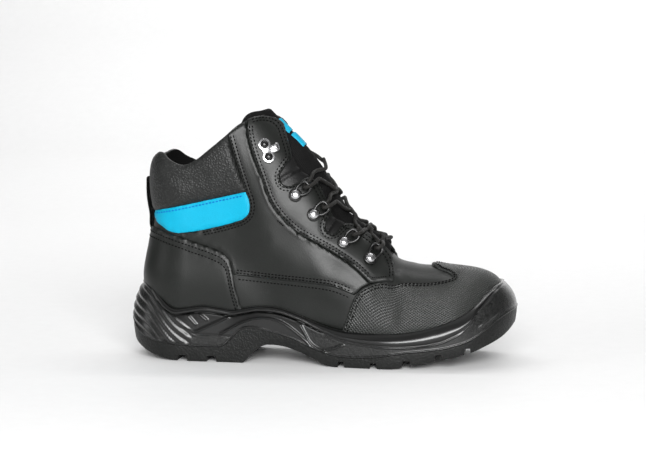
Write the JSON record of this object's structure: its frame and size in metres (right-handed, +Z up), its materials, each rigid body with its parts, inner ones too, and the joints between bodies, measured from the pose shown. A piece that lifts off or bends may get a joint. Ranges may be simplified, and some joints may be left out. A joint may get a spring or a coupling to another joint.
{
  "type": "safety hiker boot",
  "caption": "Ankle-high lace-up safety hiker boot for the right foot, with a ribbed toe overlay, padded collar, lace loops and a lugged rubber sole.",
  "frame": {"origin": "on the floor, under the middle of the sole's length and width", "axes": "+X towards the toe, +Y towards the inner side of the right foot, +Z up"},
  "size_m": [0.3115, 0.1053, 0.1993],
  "materials": {
    "rubber": "satin moulded rubber",
    "midsole": "satin moulded polyurethane",
    "leather": "smooth satin coated leather",
    "cap": "finely ribbed coated leather",
    "collar": "matte grained soft leather",
    "band": "plain coloured panel",
    "fabric": "black textile",
    "metal": "polished dark metal"
  },
  "bodies": {
    "root": {"outsole": "rubber", "midsole": "midsole", "insole": "fabric", "upper": "leather", "toe_cap": "cap", "counter": "leather", "cuff": "collar", "tongue": "fabric", "tongue_label": "band", "pull_loop": "fabric", "quarter_lateral": "leather", "band_lateral": "band", "eyestay_lateral": "leather", "hook_lateral": "metal", "d_ring_lateral_1": "metal", "d_ring_lateral_2": "metal", "d_ring_lateral_3": "metal", "d_ring_lateral_4": "metal", "quarter_medial": "leather", "band_medial": "band", "eyestay_medial": "leather", "hook_medial": "metal", "d_ring_medial_1": "metal", "d_ring_medial_2": "metal", "d_ring_medial_3": "metal", "d_ring_medial_4": "metal", "lace_bar": "fabric", "lace_cross_1": "fabric", "lace_cross_2": "fabric", "lace_cross_3": "fabric", "lace_top": "fabric"}
  },
  "joints": []
}
